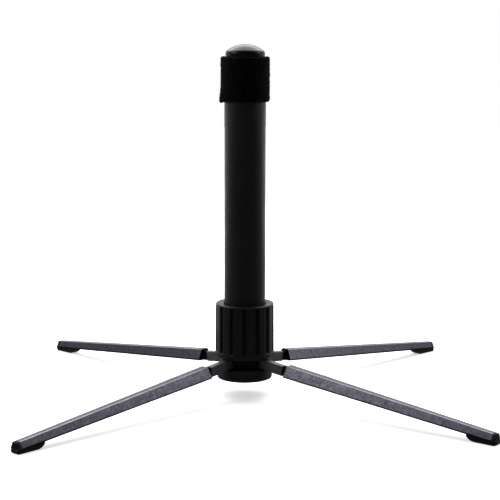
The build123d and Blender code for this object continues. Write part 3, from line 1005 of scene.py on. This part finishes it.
def cut_slot(piece, leg):
    """The slot that one link turns in, with an end wall square to it."""
    reach = 30 * MM
    over = 60 * MM
    corners = []
    for height in (HUB_DISC_TOP, over):
        corners += [(SLOT_INNER, -SLOT_HALF_WIDTH, height), (reach, -SLOT_HALF_WIDTH, height),
                    (reach, SLOT_HALF_WIDTH, height), (SLOT_INNER, SLOT_HALF_WIDTH, height)]
    faces = [(0, 1, 2, 3), (4, 5, 6, 7), (0, 1, 5, 4), (1, 2, 6, 5), (2, 3, 7, 6), (3, 0, 4, 7)]
    cutter = make_mesh("slot_cutter", corners, faces, leg_turn(leg))
    modifier = piece.modifiers.new("slot", "BOOLEAN")
    modifier.operation = "DIFFERENCE"
    modifier.solver = "EXACT"
    modifier.object = cutter
    apply_modifiers(piece)
    bpy.data.objects.remove(cutter)


def tidy_cut(piece):
    """Cleans up what the cuts leave behind: doubled points and slivers."""
    work = bmesh.new()
    work.from_mesh(piece.data)
    bmesh.ops.remove_doubles(work, verts=work.verts, dist=2e-6)
    bmesh.ops.dissolve_degenerate(work, edges=work.edges, dist=1e-6)
    bmesh.ops.recalc_face_normals(work, faces=work.faces)
    work.to_mesh(piece.data)
    work.free()


def build_cover(material):
    """The disc under the hub: a rounded lower edge, a shallow dish and the screw's recess."""
    low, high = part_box("base_cover")
    outer = high.x
    seat = low.z + COVER_RECESS_DEPTH
    dish = low.z + COVER_DISH_DEPTH
    corners = [
        (COVER_HOLE_RADIUS, seat), (COVER_RECESS_RADIUS, seat), (COVER_RECESS_RADIUS, dish),
        (COVER_DISH_RADIUS, dish), (COVER_RING_RADIUS, low.z), (outer, low.z), (outer, high.z),
        (COVER_HOLE_RADIUS, high.z),
    ]
    radii = [0, 0.2 * MM, 0.4 * MM, 0.5 * MM, 0.5 * MM, 1.3 * MM, 0.3 * MM, 0]
    verts, faces = lathe(rounded(corners, radii))
    piece = make_mesh("hub_cover", verts, faces)
    shade(piece, 40)
    finish_piece(piece, "base", material, ["base_cover"])


# ---------------------------------------------------------------- carried CAD nodes

def dress_node(node, material):
    """A CAD node whose shape is right gets one procedural material on all its faces."""
    piece = NODES[node]
    piece.data.materials.clear()
    piece.data.materials.append(material)
    for polygon in piece.data.polygons:
        polygon.material_index = 0


# ---------------------------------------------------------------- stage

def depth_fade(tree, output, fade_range):
    """A brightness that rises smoothly from front to back."""
    near, far, dim, bright = fade_range
    split = tree.nodes.new("ShaderNodeSeparateXYZ")
    tree.links.new(output, split.inputs[0])
    fade = tree.nodes.new("ShaderNodeMapRange")
    fade.interpolation_type = "SMOOTHSTEP"
    fade.inputs["From Min"].default_value = near
    fade.inputs["From Max"].default_value = far
    fade.inputs["To Min"].default_value = dim
    fade.inputs["To Max"].default_value = bright
    tree.links.new(split.outputs["Y"], fade.inputs["Value"])
    return fade.outputs["Result"]


def camera_mix(tree, unseen, seen):
    """One shader for the light that the stand gets, another for what the camera sees."""
    path = tree.nodes.new("ShaderNodeLightPath")
    mix = tree.nodes.new("ShaderNodeMixShader")
    tree.links.new(path.outputs["Is Camera Ray"], mix.inputs[0])
    tree.links.new(unseen.outputs[0], mix.inputs[1])
    tree.links.new(seen.outputs[0], mix.inputs[2])
    return mix.outputs[0]


def build_stage():
    """A plain white floor that takes soft shadows, and lights the stand mostly from behind."""
    reach = 3.0
    corners = [(-reach, -reach, 0), (reach, -reach, 0), (reach, reach, 0), (-reach, reach, 0)]
    floor = make_mesh("floor", corners, [(0, 1, 2, 3)])
    shader = Shader("white_floor", (0.86, 0.86, 0.86), 0.9, specular=0.0)
    shader.set("Emission Color", (1, 1, 1, 1))
    tree = shader.tree
    distance = tree.nodes.new("ShaderNodeVectorMath")
    distance.operation = "LENGTH"
    tree.links.new(shader.position, distance.inputs[0])
    seen_glow = shader.spread(distance.outputs["Value"], *FLOOR_GLOW_REACH, FLOOR_GLOW, 1.0)
    shader.link(seen_glow, "Emission Strength")
    glow = tree.nodes.new("ShaderNodeEmission")
    tree.links.new(depth_fade(tree, shader.position, FLOOR_FADE), glow.inputs["Strength"])
    mixed = camera_mix(tree, glow, shader.surface)
    tree.links.new(mixed, tree.nodes["Material Output"].inputs["Surface"])
    floor.data.materials.append(shader.material)


def build_world():
    """White surroundings: bright behind the stand, dim in front of it."""
    world = bpy.data.worlds.new("studio")
    bpy.context.scene.world = world
    world.use_nodes = True
    tree = world.node_tree
    tree.nodes.clear()
    coordinates = tree.nodes.new("ShaderNodeTexCoord")
    lit = tree.nodes.new("ShaderNodeBackground")
    lit.inputs["Color"].default_value = (0.97, 0.98, 1, 1)
    fade = depth_fade(tree, coordinates.outputs["Generated"], WORLD_FADE)
    tree.links.new(fade, lit.inputs["Strength"])
    seen = tree.nodes.new("ShaderNodeBackground")
    seen.inputs["Color"].default_value = (1, 1, 1, 1)
    output = tree.nodes.new("ShaderNodeOutputWorld")
    tree.links.new(camera_mix(tree, lit, seen), output.inputs[0])


def add_light(name, place, width, height, watts):
    """A soft box of a light aimed at the foot of the stand."""
    data = bpy.data.lights.new(name, "AREA")
    data.shape = "RECTANGLE"
    data.size = width
    data.size_y = height
    data.energy = watts
    lamp = bpy.data.objects.new(name, data)
    bpy.context.scene.collection.objects.link(lamp)
    lamp.location = place
    aim = Vector(LIGHT_TARGET) - Vector(place)
    lamp.rotation_mode = "QUATERNION"
    lamp.rotation_quaternion = aim.to_track_quat("-Z", "Y")


def build_camera():
    """The camera, aimed by its own angles and turned about the stand."""
    data = bpy.data.cameras.new("camera")
    camera = bpy.data.objects.new("camera", data)
    bpy.context.scene.collection.objects.link(camera)
    data.lens = CAMERA_LENS
    data.sensor_width = 36.0
    data.shift_x, data.shift_y = CAMERA_SHIFT
    data.clip_start = 0.01
    data.clip_end = 20.0
    forward = Vector((0, math.cos(CAMERA_PITCH), -math.sin(CAMERA_PITCH)))
    right = Vector((1, 0, 0))
    up = right.cross(forward)
    rolled_right = right * math.cos(CAMERA_ROLL) + up * math.sin(CAMERA_ROLL)
    rolled_up = up * math.cos(CAMERA_ROLL) - right * math.sin(CAMERA_ROLL)
    basis = Matrix((rolled_right, rolled_up, -forward)).transposed().to_4x4()
    place = Matrix.Translation(CAMERA_TARGET - forward * CAMERA_DISTANCE) @ basis
    camera.matrix_world = Matrix.Rotation(CAMERA_TURN, 4, "Z") @ place
    bpy.context.scene.camera = camera


# ---------------------------------------------------------------- assembly

build_camera()
build_world()
build_stage()
for light in LIGHTS:
    add_light(*light)
bpy.context.scene.view_settings.view_transform = "Standard"
bpy.context.scene.view_settings.gamma = 0.8

build_tube(tube_paint())
build_cap(gloss_plastic())
build_collar(satin_plastic("collar_plastic", COLLAR_COLOUR, 0.31))
build_band(fuzzy_fabric("fuzzy_band", BAND_COLOUR), fuzzy_fabric("fuzzy_pile", PILE_COLOUR))
nickel = black_nickel()
links = link_plate()
# Painted shade for the links' tongues
tongue_shade = painted_shade_black()
rubber = foot_rubber()
hub = satin_plastic("hub_plastic", HUB_COLOUR, 0.36)
nylon = satin_plastic("flange_nylon", NYLON_COLOUR, 0.5)
pins = plated_steel("pin_steel", PIN_COLOUR)
for leg_name in LEG_NAMES:
    build_channel(leg_name, nickel)
    build_link(leg_name, links, tongue_shade)
    build_foot(leg_name, rubber)
    build_rivets(leg_name, nickel)
    dress_node(leg_name + "_pin", pins)
build_hub_core(hub)
build_cover(hub)
dress_node("tube_flange", nylon)
dress_node("hub_screw", plated_steel("screw_zinc", SCREW_COLOUR))
